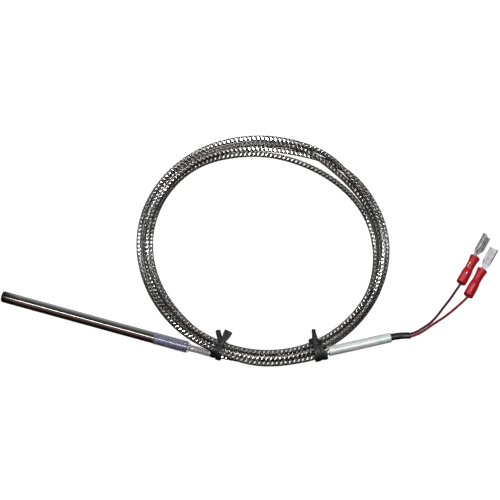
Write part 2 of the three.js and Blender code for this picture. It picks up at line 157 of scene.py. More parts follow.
# Each pass of the coil: (angle in degrees, radius, height) of the lead's centre.
COIL_PASSES = [
    [
        (285, 49.4, 1.5), (300, 49.2, 1.5), (322, 49.9, 1.5), (345, 49.7, 1.5), (364, 49.7, 1.5),
        (381, 49.6, 1.5), (401, 48.5, 1.5), (420, 47.5, 1.5), (429, 46.6, 1.5), (437, 45.3, 1.5),
        (446, 44.1, 1.5), (453, 43.6, 1.5), (467, 43.3, 1.5), (476, 43.5, 1.7), (484, 43.9, 2.4),
        (492, 44.5, 3.0), (501, 45.1, 3.3), (510, 45.8, 3.4), (530, 46.2, 3.4), (560, 46.1, 3.4),
        (585, 45.4, 3.4), (605, 45.5, 3.4), (618, 46.0, 3.4),
    ],
    [
        (272, 46.2, 3.45), (290, 46.8, 3.5), (306, 47.3, 3.6), (322, 47.4, 3.7), (345, 47.3, 3.6),
        (356, 46.9, 3.2), (364, 46.3, 2.6), (374, 45.3, 1.9), (381, 44.7, 1.5), (392, 43.8, 1.5),
        (401, 42.9, 1.5), (409, 42.0, 1.5), (417, 41.2, 1.5), (426, 40.6, 1.5), (434, 40.1, 1.5),
        (442, 39.9, 1.5), (450, 39.9, 1.5), (459, 40.3, 1.5), (467, 41.0, 1.5), (476, 41.9, 1.5),
        (484, 42.7, 1.5),
        (492, 43.5, 1.5), (501, 44.2, 1.5), (510, 44.9, 1.5), (530, 45.3, 1.5), (560, 45.0, 1.5),
        (585, 44.4, 1.5), (605, 44.6, 1.5), (618, 45.6, 1.5),
    ],
    [
        (272, 47.4, 1.5), (290, 47.5, 1.5), (322, 47.7, 1.5), (345, 47.5, 1.5), (364, 47.3, 1.5),
        (381, 46.7, 1.5), (392, 46.1, 1.5), (401, 45.1, 1.5), (409, 44.6, 1.5), (420, 44.3, 1.5),
        (429, 44.4, 1.9), (437, 44.6, 2.7), (446, 45.0, 2.4), (453, 45.3, 1.7), (467, 45.5, 1.5),
        (484, 46.1, 1.5), (501, 47.0, 1.5), (530, 47.6, 1.5), (545, 47.6, 1.5), (560, 47.2, 1.5),
        (572, 46.8, 1.5), (585, 46.5, 1.5), (600, 46.6, 1.6), (610, 47.1, 2.1), (619, 47.8, 2.8),
    ],
    [
        (272, 48.5, 3.35), (290, 49.2, 3.5), (306, 49.8, 3.6), (322, 49.5, 3.7), (345, 49.3, 3.6),
        (364, 48.8, 3.4), (381, 48.1, 3.1), (392, 47.6, 3.2), (401, 46.6, 3.2), (409, 46.1, 3.1),
        (420, 46.1, 3.0), (429, 46.8, 2.8), (437, 47.4, 2.2), (446, 47.8, 1.6), (453, 47.9, 1.5),
        (467, 48.0, 1.5), (476, 48.3, 1.5), (484, 48.7, 1.5), (501, 49.4, 1.5), (530, 49.8, 1.5),
        (545, 49.8, 1.5), (560, 49.2, 1.5), (575, 48.9, 1.5), (590, 48.7, 1.5), (600, 48.8, 1.9),
        (609, 49.1, 3.0), (617, 49.5, 4.2), (624, 50.0, 4.5),
    ],
    [(272, 50.6, 3.8), (280, 50.8, 3.3), (289, 51.0, 2.6), (296, 51.15, 2.15)],
]
COIL_STEP = 3.0

# ---- braid -----------------------------------------------------------------------------------------

CARRIERS = 6
BRAID_WAVE = 1.76
RIBBON_HALF = 0.33
RIBBON_THICKNESS = 0.12
# How far a ribbon's face is below the lead's surface where it lies on top, and how much deeper it dips.
RIBBON_INSET = 0.06
RIBBON_DIP = 0.2
# Half the length of the flat stretch on top, and how flat it is across: 1 is a plane, 0 a cylinder.
FLOAT_HALF = 0.36
FLOAT_FLATNESS = 0.7
# The length of lead in which it turns over once.
BRAID_TWIST = 2600.0
LINER_INSET = 0.26
PATH_STEP = 0.44

# ---- camera ----------------------------------------------------------------------------------------

CAMERA_AIM = (45.10, 48.52, 0.0)
CAMERA_ELEVATION = 66.0
CAMERA_FORWARD = (-0.285206, 0.958466)
CAMERA_DISTANCE = 2.0
VIEW_WIDTH = 0.2

# ---- light -----------------------------------------------------------------------------------------

LAMP_DISTANCE = 1.6
SMALL_LAMP = (0.16, 0.16)
FLOOR_HALF = 3.0
FLOOR_CENTRE = (0.045, 0.048, 0)
# The room by its angle in the plane of the camera: 0 is the near horizon, 90 is straight up.
ROOM = [
    (-180, (0.50, 0.49, 0.54)),
    (-135, (0.45, 0.44, 0.48)),
    (-110, (0.01, 0.01, 0.01)),
    (5, (0.01, 0.008, 0.008)),
    (25, (0.10, 0.06, 0.055)),
    (50, (0.20, 0.13, 0.12)),
    (62, (0.12, 0.08, 0.07)),
    (76, (0.035, 0.04, 0.028)),
    (115, (0.06, 0.07, 0.05)),
    (140, (0.17, 0.17, 0.175)),
    (180, (0.50, 0.49, 0.54)),
]


def toward_camera():
    rise = math.radians(CAMERA_ELEVATION)
    return math.sin(rise) * UP - math.cos(rise) * np.array([*CAMERA_FORWARD, 0.0])


def camera():
    rise = math.radians(CAMERA_ELEVATION)
    aim = np.array(CAMERA_AIM) * MM
    data = bpy.data.cameras.new("camera")
    data.sensor_width = 36
    data.lens = data.sensor_width * CAMERA_DISTANCE / VIEW_WIDTH
    data.clip_end = 20
    obj = bpy.data.objects.new("camera", data)
    obj.location = aim + CAMERA_DISTANCE * toward_camera()
    heading = math.atan2(-CAMERA_FORWARD[0], CAMERA_FORWARD[1])
    obj.rotation_euler = (math.pi / 2 - rise, 0, heading)
    bpy.context.scene.collection.objects.link(obj)
    bpy.context.scene.camera = obj


# ---- curves ----------------------------------------------------------------------------------------


def smooth_curve(points, step):
    """A centripetal Catmull-Rom curve through the points, resampled at an even step."""
    p = np.array(points, float)
    p = np.vstack([2 * p[0] - p[1], p, 2 * p[-1] - p[-2]])
    out = []
    for i in range(1, len(p) - 2):
        quad = p[i - 1 : i + 3]
        gaps = np.sqrt(np.linalg.norm(np.diff(quad, axis=0), axis=1))
        t = np.concatenate([[0], np.cumsum(gaps)])
        for s in np.linspace(t[1], t[2], 12, endpoint=False):
            a = [quad[k] + (quad[k + 1] - quad[k]) * (s - t[k]) / (t[k + 1] - t[k]) for k in range(3)]
            b = [a[k] + (a[k + 1] - a[k]) * (s - t[k]) / (t[k + 2] - t[k]) for k in range(2)]
            out.append(b[0] + (b[1] - b[0]) * (s - t[1]) / (t[2] - t[1]))
    out.append(p[-2])
    return resample(np.array(out), step)


def resample(points, step):
    runs = np.concatenate([[0], np.cumsum(np.linalg.norm(np.diff(points, axis=0), axis=1))])
    count = max(2, int(round(runs[-1] / step)) + 1)
    at = np.linspace(0, runs[-1], count)
    return np.column_stack([np.interp(at, runs, points[:, k]) for k in range(3)])


def length_of(points):
    return float(np.linalg.norm(np.diff(points, axis=0), axis=1).sum())


def frames(points):
    """A normal and a binormal at each point of a path, turning as little as possible."""
    tangent = np.gradient(points, axis=0)
    tangent /= np.linalg.norm(tangent, axis=1)[:, None]
    normal = np.zeros_like(points)
    n = UP - tangent[0] * tangent[0][2]
    for i, t in enumerate(tangent):
        n = n - t * n.dot(t)
        n /= np.linalg.norm(n)
        normal[i] = n
    return normal, np.cross(tangent, normal)


def on_tail(x, y, z=0.0):
    a = math.radians(TAIL_ANGLE)
    return (
        TAIL_START[0] + x * math.cos(a) - y * math.sin(a),
        TAIL_START[1] + x * math.sin(a) + y * math.cos(a),
        TAIL_START[2] + z,
    )


# ---- lead's route ----------------------------------------------------------------------------------


def coil_points():
    """The coil's passes, one after another, at an even angle step."""
    keys = []
    for turn, coil_pass in enumerate(COIL_PASSES):
        keys += [(angle + 360 * turn, r, z) for angle, r, z in coil_pass]
    angle, r, z = np.array(keys, float).T
    at = np.arange(angle[0], angle[-1] + COIL_STEP / 2, COIL_STEP)
    ease = np.hanning(9)
    ease /= ease.sum()
    pad = len(ease) // 2
    radius = np.convolve(np.pad(np.interp(at, angle, r), pad, mode="edge"), ease, mode="valid")
    height = np.convolve(np.pad(np.interp(at, angle, z), pad, mode="edge"), ease, mode="valid")
    turn = np.radians(at)
    x = COIL_CENTRE[0] + radius * np.cos(turn)
    y = COIL_CENTRE[1] + radius * np.sin(turn)
    return np.column_stack([x, y, height])


def settle(points, held):
    """Pushes strands that lie in each other apart, and keeps the lead smooth and off the floor.

    Points a few steps apart are neighbours and aren't pushed. The strain relief's neck counts as a
    bar that the coil lies on."""
    rounds, neighbours, coil_from, reach = 160, 6, 40, 2.2
    neck_clearance = LEAD_R + 1.4
    yielding, neck_weight, smoothing = 0.3, 3, 0.25
    lowest = LEAD_R + 0.3
    p = points.copy()
    order = np.arange(len(p))
    apart = np.abs(order[:, None] - order[None, :]) > neighbours
    neck = np.arange(SHEATH_END_X + 1.3, RELIEF_END_X + 0.5, 1.0)
    bar = np.column_stack([neck, 0 * neck, 0 * neck + AXIS_Z])
    for _ in range(rounds):
        tangent = np.gradient(p, axis=0)
        tangent /= np.linalg.norm(tangent, axis=1)[:, None]
        gap = p[:, None, :] - p[None, :, :]
        along = np.einsum("ijk,ik->ij", gap, tangent)
        across = gap - along[..., None] * tangent[:, None, :]
        distance = np.linalg.norm(across, axis=2) + 1e-9
        touch = apart & (np.abs(along) < reach) & (distance < 2 * LEAD_R)
        push = np.where(touch, (2 * LEAD_R - distance) / distance, 0)
        count = np.maximum(touch.sum(axis=1), 1)
        move = yielding * (across * push[..., None]).sum(axis=1) / count[:, None]
        off = p[:, None, :] - bar[None, :, :]
        off[..., 0] *= 0.2
        away = np.linalg.norm(off, axis=2) + 1e-9
        clash = (away < neck_clearance) & (order > coil_from)[:, None]
        lift = np.where(clash, (neck_clearance - away) / away, 0)
        move += yielding * (off * lift[..., None]).mean(axis=1) * neck_weight
        move[held] = 0
        p += move
        bend = np.zeros_like(p)
        bend[1:-1] = 0.5 * (p[:-2] + p[2:]) - p[1:-1]
        bend[held] = 0
        p[1:-1] += smoothing * (bend[1:-1] - 0.5 * (bend[:-2] + bend[2:]))
        p[:, 2] = np.maximum(p[:, 2], lowest)
        p[held] = points[held]
    return p


def lead_route():
    """The whole lead from inside the sheath, round the coil, to its end inside the boot."""
    tail = [on_tail(*p) for p in LEAD_TAIL_ROUTE]
    path = smooth_curve(np.vstack([LEAD_PROBE_ROUTE, coil_points(), tail]), 2.4)
    x_from = LEAD_PROBE_ROUTE[-2][0]
    held = np.zeros(len(path), bool)
    held[: int(np.argmax(path[:, 0] > x_from))] = True
    last = path[-40:]
    tail_start = int(np.argmin(np.linalg.norm(last - np.array(tail[1]), axis=1)))
    held[tail_start + len(path) - len(last) :] = True
    return smooth_curve(settle(path, held), PATH_STEP)


# ---- meshes ----------------------------------------------------------------------------------------


def mesh_object(name, vertices, faces, materials, face_material=None):
    """A smooth-shaded object from vertices in millimetres, with a material number for each face."""
    data = bpy.data.meshes.new(name)
    data.from_pydata([tuple(v) for v in np.asarray(vertices, float) * MM], [], faces)
    for m in materials:
        data.materials.append(m)
    if face_material is not None:
        data.polygons.foreach_set("material_index", np.asarray(face_material, np.int32))
    data.polygons.foreach_set("use_smooth", np.full(len(data.polygons), True))
    data.update()
    obj = bpy.data.objects.new(name, data)
    bpy.context.scene.collection.objects.link(obj)
    return obj


def ring_faces(rings, around):
    """Quads between rings of `around` vertices each, with end caps."""
    faces = []
    for i in range(rings - 1):
        a, b = i * around, (i + 1) * around
        for k in range(around):
            k2 = (k + 1) % around
            faces.append((a + k, a + k2, b + k2, b + k))
    faces.append(tuple(reversed(range(around))))
    faces.append(tuple(range((rings - 1) * around, rings * around)))
    return faces


def tube_vertices(points, radius, around):
    normal, binormal = frames(points)
    angles = 2 * np.pi * np.arange(around) / around
    circle = np.cos(angles)[None, :, None] * binormal[:, None, :]
    circle = circle + np.sin(angles)[None, :, None] * -normal[:, None, :]
    rings = points[:, None, :] + radius * circle
    return rings.reshape(-1, 3)


def along_path(path, at):
    """Points and their normals and binormals at given distances along a path."""
    normal, binormal = frames(path)
    run = np.concatenate([[0], np.cumsum(np.linalg.norm(np.diff(path, axis=0), axis=1))])
    return [
        np.column_stack([np.interp(at, run, values[:, k]) for k in range(3)])
        for values in (path, normal, binormal)
    ]


def braid(path, radius):
    """Ribbons of wire wound both ways, each over and under the others in turn.

    A ribbon lies flat where it passes over another and dips between. The two hands cross over at
    the same places all round: one hand is over at each whole wave and the other halfway. The lead
    lies with nearly the same side up all along, and turns over once in BRAID_TWIST."""
    length = length_of(path)
    waves = int(round(length / BRAID_WAVE))
    wave = length / waves
    pitch = CARRIERS * wave
    tilt = math.atan2(2 * np.pi * radius, pitch)
    half_angle = RIBBON_HALF / math.cos(tilt) / radius
    top = radius - RIBBON_INSET
    facing = toward_camera()
    vertices, faces, shade_slot = [], [], []
    for hand in (1, -1):
        centre = (np.arange(waves) + 0.5 if hand > 0 else np.arange(1, waves)) * wave
        at = (centre[:, None] + np.array([-FLOAT_HALF, FLOAT_HALF, wave / 2])).ravel()
        at = np.minimum(at, length)
        over = np.tile([True, True, False], len(centre))
        middle = np.repeat(centre, 3)
        point, normal, binormal = along_path(path, at)
        lie = np.unwrap(np.arctan2(binormal @ facing, normal @ facing)) + 2 * np.pi * at / BRAID_TWIST
        middle_lie = np.interp(middle, at, lie)
        for carrier in range(CARRIERS):
            turn = 2 * np.pi * (carrier / CARRIERS + hand * at / pitch) + lie
            face = 2 * np.pi * (carrier / CARRIERS + hand * middle / pitch) + middle_lie
            ring = []
            for side in (-1, 1, 0):
                angle = turn + side * half_angle
                flat = np.cos(angle - face) ** -FLOAT_FLATNESS
                r = np.where(over, top * flat, top - RIBBON_DIP)
                r = r - (RIBBON_THICKNESS if side == 0 else 0)
                spoke = np.cos(angle)[:, None] * normal + np.sin(angle)[:, None] * binormal
                ring.append(point + r[:, None] * spoke)
            base = sum(len(v) for v in vertices)
            vertices.append(np.stack(ring, axis=1).reshape(-1, 3))
            first = base + 3 * np.arange(len(at) - 1)
            for a, b in ((0, 1), (1, 2), (2, 0)):
                faces.append(np.column_stack([first + b, first + 3 + b, first + 3 + a, first + a]))
                # Slot 1, the painted shade, goes on the dips and on the ribbons' sides and undersides; slot
                # 0, plain steel, only on the flat tops.
                shade_slot.append(np.where(over[:-1] & over[1:], 0, 1) if (a, b) == (0, 1) else 0 * first + 1)
    return np.vstack(vertices), np.vstack(faces), np.concatenate(shade_slot)


# ---- materials -------------------------------------------------------------------------------------


class Nodes:
    """A short way to write a material's nodes."""

    def __init__(self, name):
        self.material = bpy.data.materials.new(name)
        self.material.use_nodes = True
        self.tree = self.material.node_tree
        self.shader = self.tree.nodes["Principled BSDF"]

    def add(self, kind, inputs=None, **settings):
        node = self.tree.nodes.new(kind)
        for key, value in settings.items():
            setattr(node, key, value)
        for key, value in (inputs or {}).items():
            if isinstance(value, bpy.types.NodeSocket):
                self.tree.links.new(value, node.inputs[key])
            else:
                node.inputs[key].default_value = value
        return node

    def place(self):
        return self.add("ShaderNodeTexCoord").outputs["Object"]

    def ramp(self, factor, stops):
        node = self.add("ShaderNodeValToRGB", {"Fac": factor})
        elements = node.color_ramp.elements
        while len(elements) < len(stops):
            elements.new(0.5)
        for element, (at, colour) in zip(elements, stops):
            element.position = at
            element.color = (*colour, 1)
        return node.outputs["Color"]

    def noise(self, scale, detail=3.0, stretch=None):
        place = self.place()
        if stretch:
            place = self.add("ShaderNodeMapping", {"Vector": place, "Scale": stretch}).outputs[0]
        noise = self.add("ShaderNodeTexNoise", {"Vector": place, "Scale": scale, "Detail": detail})
        return noise.outputs["Fac"]

    def value(self, factor, low, high):
        node = self.add("ShaderNodeMapRange", {"Value": factor, "To Min": low, "To Max": high})
        return node.outputs["Result"]

    def bump(self, height, distance, strength=1.0):
        node = self.add("ShaderNodeBump", {"Height": height, "Strength": strength})
        node.inputs["Distance"].default_value = distance
        self.set(Normal=node.outputs["Normal"])

    def set(self, **inputs):
        for key, value in inputs.items():
            socket = self.shader.inputs[key.replace("_", " ")]
            if isinstance(value, bpy.types.NodeSocket):
                self.tree.links.new(value, socket)
            else:
                socket.default_value = value


def metal(name, dark, light, roughness):
    n = Nodes(name)
    factor = n.noise(400.0, 4.0)
    n.set(Base_Color=n.ramp(factor, [(0.3, dark), (0.7, light)]), Metallic=1.0)
    n.set(Roughness=n.value(factor, *roughness))
    n.bump(factor, 0.00001, 0.3)
    return n.material


def plastic(name, dark, light, roughness, scale=300.0, grain=0.00002):
    n = Nodes(name)
    factor = n.noise(scale, 4.0)
    n.set(Base_Color=n.ramp(factor, [(0.25, dark), (0.75, light)]))
    n.set(Roughness=n.value(factor, *roughness))
    n.bump(factor, grain, 0.4)
    return n.material


def braid_wire():
    """The ribbons' flat tops: dark polished steel that only glints where it faces a lamp."""
    n = Nodes("braid_wire")
    tone = n.noise(900.0, 3.0)
    wires = n.noise(4200.0, 2.0)
    n.set(Base_Color=n.ramp(tone, [(0.3, (0.17, 0.17, 0.165)), (0.7, (0.29, 0.285, 0.28))]))
    n.set(Metallic=1.0, Roughness=n.value(tone, 0.25, 0.31))
    n.bump(wires, 0.00001, 0.2)
    return n.material


def braid_painted_shade():
    """Painted shade for the wires where they dip under each other and for the ribbons' sides and
    undersides: dull, near-black brown, standing in for the little light that gets in.
    """
    n = Nodes("braid_painted_shade")
    tone = n.noise(1500.0, 4.0)
    n.set(Base_Color=n.ramp(tone, [(0.3, (0.012, 0.011, 0.010)), (0.7, (0.045, 0.036, 0.033))]))
    n.set(Roughness=n.value(tone, 0.8, 0.95), Specular_IOR_Level=0.08)
    n.bump(tone, 0.00001, 0.3)
    return n.material


def polished_steel():
    """Drawn and polished tube: very fine lengthwise lines, and a little brown near the tip."""
    n = Nodes("polished_steel")
    lines = n.noise(260.0, 5.0, (4.0, 60.0, 60.0))
    along = n.add("ShaderNodeSeparateXYZ", {0: n.place()}).outputs["X"]
    plain = n.ramp(lines, [(0.3, (0.52, 0.51, 0.51)), (0.7, (0.66, 0.65, 0.65))])
    tint = {"From Min": (TIP_X + 1) * MM, "From Max": (TIP_X + 6.5) * MM}
    heat = n.add("ShaderNodeMapRange", {"Value": along, **tint}).outputs[0]
    mix = n.add("ShaderNodeMix", {0: heat, 6: (0.06, 0.05, 0.04, 1), 7: plain}, data_type="RGBA")
    n.set(Base_Color=mix.outputs[2], Metallic=1.0, Roughness=n.value(lines, 0.04, 0.08))
    n.bump(lines, 0.00001, 0.1)
    return n.material


def weld():
    """Heat-darkened weld with small ripples."""
    n = Nodes("weld")
    ripple = n.noise(900.0, 3.0)
    n.set(Base_Color=n.ramp(ripple, [(0.3, (0.012, 0.013, 0.011)), (0.7, (0.035, 0.034, 0.028))]))
    n.set(Metallic=1.0, Roughness=n.value(ripple, 0.25, 0.45))
    n.bump(ripple, 0.00005, 0.4)
    return n.material


def clear_shrink():
    """Clear tubing with a bluish haze, milky where it is thick and wrinkled round the lead."""
    n = Nodes("clear_shrink")
    cloud = n.noise(700.0, 4.0, (0.35, 1, 1))
    along = n.add("ShaderNodeSeparateXYZ", {0: n.place()}).outputs["X"]
    ends = {"From Min": SHEATH_END_X * MM, "From Max": (SHEATH_END_X + 1.5) * MM}
    neck = n.add("ShaderNodeMapRange", {"Value": along, **ends}).outputs[0]
    film = n.ramp(cloud, [(0.3, (0.24, 0.26, 0.42)), (0.7, (0.42, 0.45, 0.66))])
    milk = n.ramp(cloud, [(0.3, (0.42, 0.40, 0.44)), (0.7, (0.70, 0.68, 0.70))])
    tint = n.add("ShaderNodeMix", {0: neck, 6: film, 7: milk}, data_type="RGBA").outputs[2]
    thin, thick = n.value(cloud, 0.10, 0.22), n.value(cloud, 0.32, 0.55)
    cover = n.add("ShaderNodeMix", {0: neck, 2: thin, 3: thick}).outputs[0]
    n.set(Base_Color=tint, Alpha=cover, Roughness=n.value(cloud, 0.1, 0.24))
    n.bump(cloud, 0.00006, 0.35)
    return n.material


def tie_plastic():
    """Dull black ribbon."""
    n = Nodes("tie_plastic")
    grain = n.noise(800.0, 4.0, (1, 1, 1))
    n.set(Base_Color=n.ramp(grain, [(0.3, (0.006, 0.009, 0.009)), (0.7, (0.02, 0.026, 0.026))]))
    n.set(Roughness=n.value(grain, 0.4, 0.55), Specular_IOR_Level=0.1)
    n.bump(grain, 0.00006, 0.4)
    return n.material


def marker_plastic():
    """Satin white tubing that lets a little light through."""
    n = Nodes("marker_plastic")
    haze = n.noise(350.0, 4.0)
    n.set(Base_Color=n.ramp(haze, [(0.3, (0.74, 0.77, 0.77)), (0.7, (0.88, 0.9, 0.9))]))
    n.set(Roughness=n.value(haze, 0.3, 0.45), Subsurface_Weight=0.15, Subsurface_Scale=0.001)
    n.bump(haze, 0.00002, 0.3)
    return n.material


def boot_rubber():
    """Dull black shrunk tubing."""
    n = Nodes("boot_rubber")
    tone = n.noise(500.0, 4.0)
    n.set(Base_Color=n.ramp(tone, [(0.25, (0.006, 0.006, 0.008)), (0.75, (0.02, 0.018, 0.024))]))
    n.set(Roughness=n.value(tone, 0.35, 0.47), Specular_IOR_Level=0.1)
    n.bump(tone, 0.00005, 0.4)
    return n.material


def wire_cover(name, dark, light):
    """Dull insulation of a wire."""
    n = Nodes(name)
    tone = n.noise(500.0, 4.0)
    n.set(Base_Color=n.ramp(tone, [(0.3, dark), (0.7, light)]))
    n.set(Roughness=n.value(tone, 0.5, 0.62), Specular_IOR_Level=0.05)
    n.bump(tone, 0.00002, 0.4)
    return n.material


def purple_cover():
    return wire_cover("purple_cover", (0.07, 0.008, 0.03), (0.13, 0.018, 0.055))


def maroon_cover():
    return wire_cover("maroon_cover", (0.24, 0.006, 0.02), (0.36, 0.012, 0.035))


WIRE_COVERS = {"positive": purple_cover, "negative": maroon_cover}


def tin_plate():
    """Tin plate with a dull bloom."""
    n = Nodes("tin_plate")
    bloom = n.noise(500.0, 5.0)
    n.set(Base_Color=n.ramp(bloom, [(0.3, (0.20, 0.19, 0.205)), (0.7, (0.30, 0.29, 0.305))]))
    n.set(Metallic=0.5, Roughness=n.value(bloom, 0.5, 0.6))
    n.bump(bloom, 0.00002, 0.3)
    return n.material


def red_vinyl():
    """Soft red vinyl, mottled and a little glossy."""
    n = Nodes("red_vinyl")
    mottle = n.noise(420.0, 4.0, (1, 1, 1))
    n.set(Base_Color=n.ramp(mottle, [(0.3, (0.56, 0.003, 0.012)), (0.7, (0.78, 0.008, 0.026))]))
    n.set(Roughness=n.value(mottle, 0.3, 0.42), Specular_IOR_Level=0.15)
    n.set(Coat_Weight=0.12, Coat_Roughness=0.1)
    n.bump(mottle, 0.00005, 0.35)
    return n.material


def inner_finishes(nodes):
    """Materials for the pieces inside the probe and the sleeves, which keep their CAD shapes."""
    finishes = {
        "hot_junction": weld(),
        "potting_seal": plastic("potting", (0.02, 0.017, 0.015), (0.05, 0.045, 0.04), (0.4, 0.6)),
        "rear_bush": tin_plate(),
    }
    alloy = metal("thermo_alloy", (0.34, 0.30, 0.25), (0.52, 0.47, 0.4), (0.3, 0.5))
    ceramic = plastic("ceramic", (0.74, 0.70, 0.62), (0.88, 0.85, 0.78), (0.6, 0.8), 900.0, 0.00004)
    copper = metal("copper", (0.55, 0.27, 0.14), (0.8, 0.45, 0.28), (0.25, 0.4))
    covers = {pole: cover() for pole, cover in WIRE_COVERS.items()}
    for number in range(1, 7):
        finishes[f"insulator_bead_{number}"] = ceramic
    for pole, cover in covers.items():
        finishes[f"thermoelement_{pole}"] = alloy
        finishes[f"splice_ferrule_{pole}"] = tin_plate()
        finishes[f"lead_core_{pole}"] = cover
        finishes[f"crimp_support_{pole}"] = tin_plate()
        finishes[f"conductor_end_{pole}"] = copper
    for node, finish in finishes.items():
        data = nodes[node].data
        data.materials.clear()
        data.materials.append(finish)


# ---- lead ------------------------------------------------------------------------------------------


def braided_lead(path):
    """The braid over a plain dark liner, as one piece."""
    vertices, faces, shade_slot = braid(path, LEAD_R)
    around = 10
    spine = path[::3]
    core = tube_vertices(spine, LEAD_R - LINER_INSET, around)
    start = len(vertices)
    core_faces = [tuple(start + k for k in f) for f in ring_faces(len(spine), around)]
    face_list = [tuple(f) for f in faces.tolist()] + core_faces
    # The braid's dips and undersides take the painted-shade material (slot 1), the liner slot 2.
    slot = list(shade_slot) + [2] * len(core_faces)
    liner = plastic("liner", (0.012, 0.012, 0.013), (0.03, 0.03, 0.03), (0.5, 0.7))
    obj = mesh_object(
        "braided_lead",
        np.vstack([vertices, core]),
        face_list,
        [braid_wire(), braid_painted_shade(), liner],
        slot,
    )
    obj.data.set_sharp_from_angle(angle=math.radians(14))
    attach(obj, "thermocouple")
    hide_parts("lead_probe_end", "lead_coil", "lead_tail")


# ---- turned pieces ---------------------------------------------------------------------------------


def basis(place, heading=0.0, roll=0.0):
    """Where a piece drawn along its own X axis goes: a 3x3 turn and an offset, in millimetres."""
    h, r = math.radians(heading), math.radians(roll)
    turn = np.array([[math.cos(h), -math.sin(h), 0], [math.sin(h), math.cos(h), 0], [0, 0, 1]])
    lean = np.array([[1, 0, 0], [0, math.cos(r), -math.sin(r)], [0, math.sin(r), math.cos(r)]])
    return turn @ lean, np.array(place, float)


def turned(name, outline, material, where, around, shape=None, angle=30, bend=None):
    """A closed outline of (x, radius) points turned about the X axis.

    `shape` adds to the radius by (x, radius, turn), and `bend` moves the axis aside by x."""
    outline = np.array(outline, float)
    count = len(outline)
    turn = 2 * np.pi * np.arange(around) / around
    x = np.repeat(outline[:, 0], around)
    r = np.repeat(outline[:, 1], around)
    t = np.tile(turn, count)
    if shape is not None:
        r = r + shape(x, r, t)
    aside = 0 if bend is None else bend(x)
    vertices = np.column_stack([x, r * np.cos(t) + aside, r * np.sin(t)])
    faces = []
    for i in range(count):
        a, b = i * around, ((i + 1) % count) * around
        for k in range(around):
            k2 = (k + 1) % around
            faces.append((a + k, b + k, b + k2, a + k2))
    rotation, offset = where
    obj = mesh_object(name, vertices @ rotation.T + offset, faces, [material])
    obj.data.set_sharp_from_angle(angle=math.radians(angle))
    return obj


def stations(points, step):
    """Extra points along an outline, so that a surface can be shaped between its corners."""
    out = []
    for a, b in zip(points, points[1:]):
        a, b = np.array(a, float), np.array(b, float)
        parts = max(1, int(np.linalg.norm(b - a) / step))
        out += [tuple(a + (b - a) * k / parts) for k in range(parts)]
    out.append(tuple(points[-1]))
    return out


def arc(centre, radius, start, end, steps):
    angles = np.radians(np.linspace(start, end, steps + 1))
    return [(centre[0] + radius * math.cos(a), centre[1] + radius * math.sin(a)) for a in angles]


# ---- probe -----------------------------------------------------------------------------------------

PROBE_AXIS = basis((0, 0, AXIS_Z))


def sheath():
    """The polished tube, from the welded end to its square-cut rear end."""
    bore = SHEATH_R - 0.5
    start = TIP_X + 0.95
    edge = 0.12
    outline = [(start, bore), (start, SHEATH_R - edge / 2), (start + edge / 2, SHEATH_R)]
    outline += stations([(start + edge, SHEATH_R), (SHEATH_END_X - edge, SHEATH_R)], 3)
    outline += [(SHEATH_END_X, SHEATH_R - edge), (SHEATH_END_X, bore)]
    obj = turned("sheath", outline, polished_steel(), PROBE_AXIS, 128)
    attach(obj, "thermocouple")
    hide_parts("sheath_tube")


def tip():
    """The welded end: a flat face, a rounded shoulder and a spigot that stays inside the sheath."""
    flat, nose, centre, spigot_r = 1.25, 0.93, 0.02, 1.7
    spigot_end = TIP_X + 2.7
    steps = 8
    outline = [(spigot_end, centre), (TIP_X, centre), (TIP_X, flat)]
    for step in range(1, steps + 1):
        a = step / steps * math.pi / 2
        r = flat + (SHEATH_R - flat) * math.sin(a)
        outline.append((TIP_X + nose * (1 - math.cos(a)), r))
    outline += [(TIP_X + nose, spigot_r), (spigot_end, spigot_r)]
    obj = turned("tip", outline, weld(), PROBE_AXIS, 96)
    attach(obj, "thermocouple")
    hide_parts("tip_plug")


def strain_relief():
    """Clear tubing shrunk over the sheath's end, with lengthwise wrinkles where it necks down."""
    wide, slim, wall = SHEATH_R + 0.05, LEAD_R + 0.05, 0.25
    neck = SHEATH_END_X + 0.1
    outer = [(RELIEF_FROM_X + 0.2, wide + wall), (neck - 0.2, wide + wall)]
    outer += [(neck + 0.3, wide + wall - 0.25)]
    outer += [(neck + 0.75, slim + wall + 0.35), (neck + 1.5, slim + wall + 0.08), (neck + 3, slim + wall)]
    outer += [(RELIEF_END_X - 0.1, slim + wall)]
    inner = [(RELIEF_END_X, slim + 0.1), (RELIEF_END_X, slim), (neck + 1.2, slim), (neck + 0.1, wide)]
    inner += [(RELIEF_FROM_X, wide), (RELIEF_FROM_X, wide + 0.12), (RELIEF_FROM_X + 0.2, wide + wall)]

    def wrinkle(x, r, t):
        near = np.exp(-(((x - neck - 0.9) / 1.1) ** 2))
        further = np.exp(-(((x - neck - 4) / 3.5) ** 2))
        fold = np.sin(7 * t + 0.8 * np.sin(x)) + 0.6 * np.sin(11 * t + 1.3)
        long_fold = np.sin(3 * t + 0.5 * x) + 0.5 * np.sin(5 * t + 0.3 * x)
        ends = np.clip((RELIEF_END_X - x) / 1.0, 0, 1) * np.clip((x - RELIEF_FROM_X) / 1.0, 0, 1)
        return ends * (0.05 * near * fold + 0.03 * further * long_fold)

    outline = stations(outer, 0.3) + stations(inner, 2.0)[:-1]
    obj = turned("strain_relief", outline, clear_shrink(), PROBE_AXIS, 72, wrinkle, angle=60)
    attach(obj, "thermocouple")
    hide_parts("strain_relief_sleeve")


# ---- tail ------------------------------------------------------------------------------------------

TAIL_AXIS = basis(TAIL_START, TAIL_ANGLE)


